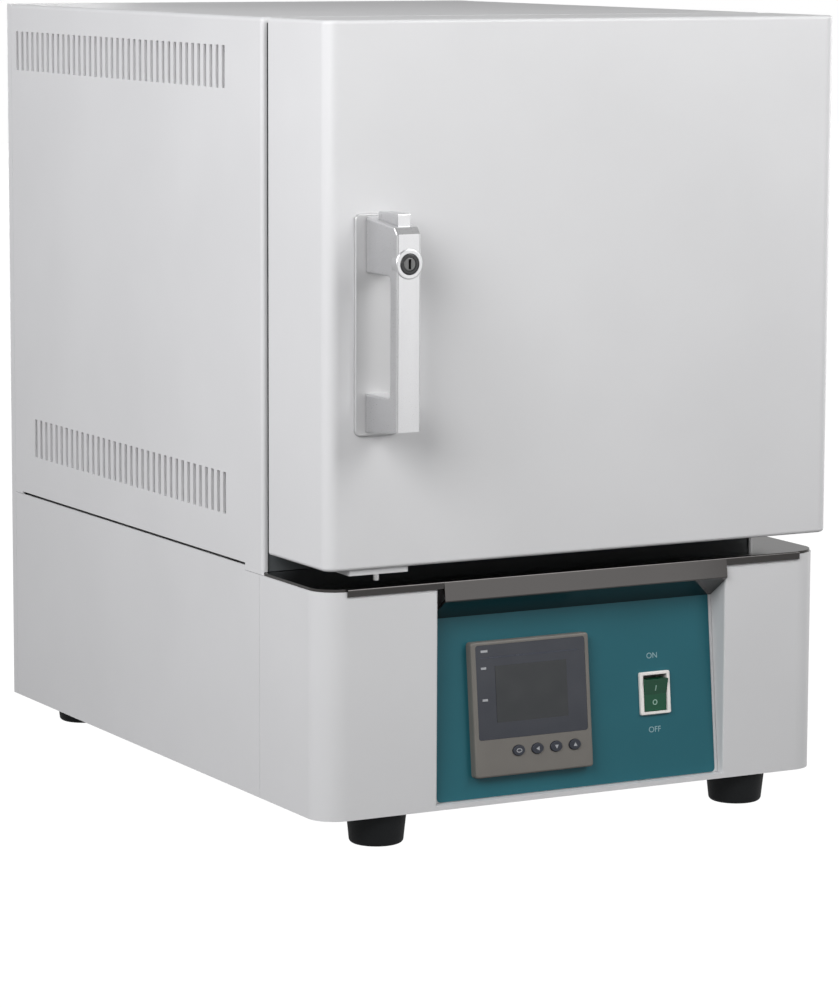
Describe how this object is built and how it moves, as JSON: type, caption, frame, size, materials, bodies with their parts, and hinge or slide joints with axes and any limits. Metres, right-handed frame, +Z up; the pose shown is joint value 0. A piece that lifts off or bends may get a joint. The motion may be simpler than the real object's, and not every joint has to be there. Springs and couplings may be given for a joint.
{
  "type": "muffle furnace",
  "caption": "Bench muffle furnace with a side-hung insulated door, lockable pull handle, slotted side covers and a tilted control panel over rubber feet",
  "frame": {"origin": "on the floor, in the middle of the box that holds the whole furnace in plan", "axes": "+X to the furnace's right seen from the front, +Y from the door to the back, +Z up"},
  "size_m": [0.425, 0.6154, 0.572],
  "materials": {
    "cover_paint": "fine textured powder coat, light grey white",
    "base_paint": "powder coat, light grey",
    "deck_mirror": "polished mirror sheet",
    "zinc_sheet": "zinc-coated sheet",
    "bright_steel": "turned steel",
    "fibre": "pressed ceramic fibre",
    "frame_grey": "dark grey paint",
    "hearth": "fired plate",
    "coil": "oxidised resistance wire",
    "label": "printed film, plain dark teal",
    "bezel": "moulded grey brown",
    "window": "dark clear window",
    "keys": "light grey key caps",
    "switch_frame": "ivory",
    "rocker": "translucent green",
    "handle_cast": "satin",
    "black_plastic": "black",
    "sink": "extruded",
    "terminals": "glazed block",
    "striker": "painted strip",
    "foot_rubber": "black rubber"
  },
  "bodies": {
    "cabinet": {"base_floor": "zinc_sheet", "fascia": "base_paint", "base_side_left": "base_paint", "base_side_right": "base_paint", "deck": "deck_mirror", "control_panel": "base_paint", "label_film": "label", "controller_case": "bezel", "controller_bezel": "bezel", "controller_window": "window", "switch_body": "switch_frame", "side_cover_left": "cover_paint", "side_cover_right": "cover_paint", "top_cover": "cover_paint", "rear_cover": "cover_paint", "cable_gland": "black_plastic", "front_frame": "frame_grey", "latch_keeper": "zinc_sheet", "inner_shell": "zinc_sheet", "shell_rails": "zinc_sheet", "floor_board": "fibre", "roof_board": "fibre", "back_board": "fibre", "left_board": "fibre", "right_board": "fibre", "heating_coils_left": "coil", "heating_coils_right": "coil", "hearth_plate": "hearth", "thermocouple": "bright_steel", "element_terminals": "terminals", "heat_shields": "zinc_sheet", "heat_sink": "sink", "power_relay": "black_plastic", "terminal_block": "black_plastic", "door_sensor": "black_plastic", "feet": "foot_rubber", "foot_screws": "bright_steel", "rear_screws": "bright_steel", "cabinet_leaves": "zinc_sheet", "hinge_pins": "bright_steel"},
    "door": {"door_leaves": "zinc_sheet", "door_shell": "cover_paint", "door_back_plate": "zinc_sheet", "door_filling": "fibre", "door_plug": "fibre", "door_seal": "fibre", "striker_bar": "striker", "striker_pin": "bright_steel", "handle_plate": "handle_cast", "handle_grip": "handle_cast", "handle_screws": "bright_steel", "lock_ring": "black_plastic"},
    "thumb_button": {"thumb_button": "handle_cast"},
    "latch": {"latch": "bright_steel"},
    "lock_barrel": {"lock_barrel": "bright_steel"},
    "switch_rocker": {"switch_rocker": "rocker"},
    "controller_key_1": {"controller_key_1": "keys"},
    "controller_key_2": {"controller_key_2": "keys"},
    "controller_key_3": {"controller_key_3": "keys"},
    "controller_key_4": {"controller_key_4": "keys"}
  },
  "joints": [
    {"name": "door_swing", "type": "hinge", "parent": "cabinet", "child": "door", "pos_m": [0.2055, -0.1665, 0.199], "axis": [0, 0, 1], "range_deg": [0, 120]},
    {"name": "button_press", "type": "slide", "parent": "door", "child": "thumb_button", "axis": [0, 0, -1], "range_m": [0, 0.005], "stiffness_N_per_m": 900, "springref_m": -0.004},
    {"name": "latch_drop", "type": "slide", "parent": "door", "child": "latch", "axis": [0, 0, -1], "range_m": [0, 0.005]},
    {"name": "key_turn", "type": "hinge", "parent": "door", "child": "lock_barrel", "pos_m": [-0.175, -0.3065, 0.4115], "axis": [0, -1, 0], "range_deg": [0, 90]},
    {"name": "switch_tip", "type": "hinge", "parent": "cabinet", "child": "switch_rocker", "pos_m": [0.0627, -0.23522, 0.08818], "axis": [-1, 0, 0], "range_deg": [0, 22]},
    {"name": "key_1_press", "type": "slide", "parent": "cabinet", "child": "controller_key_1", "axis": [0, 0.9949, -0.1011], "range_m": [0, 0.0009], "stiffness_N_per_m": 600, "springref_m": -0.0005},
    {"name": "key_2_press", "type": "slide", "parent": "cabinet", "child": "controller_key_2", "axis": [0, 0.9949, -0.1011], "range_m": [0, 0.0009], "stiffness_N_per_m": 600, "springref_m": -0.0005},
    {"name": "key_3_press", "type": "slide", "parent": "cabinet", "child": "controller_key_3", "axis": [0, 0.9949, -0.1011], "range_m": [0, 0.0009], "stiffness_N_per_m": 600, "springref_m": -0.0005},
    {"name": "key_4_press", "type": "slide", "parent": "cabinet", "child": "controller_key_4", "axis": [0, 0.9949, -0.1011], "range_m": [0, 0.0009], "stiffness_N_per_m": 600, "springref_m": -0.0005}
  ],
  "couplings": [
    {"joint": "latch_drop", "follows": "button_press", "ratio": 1}
  ]
}
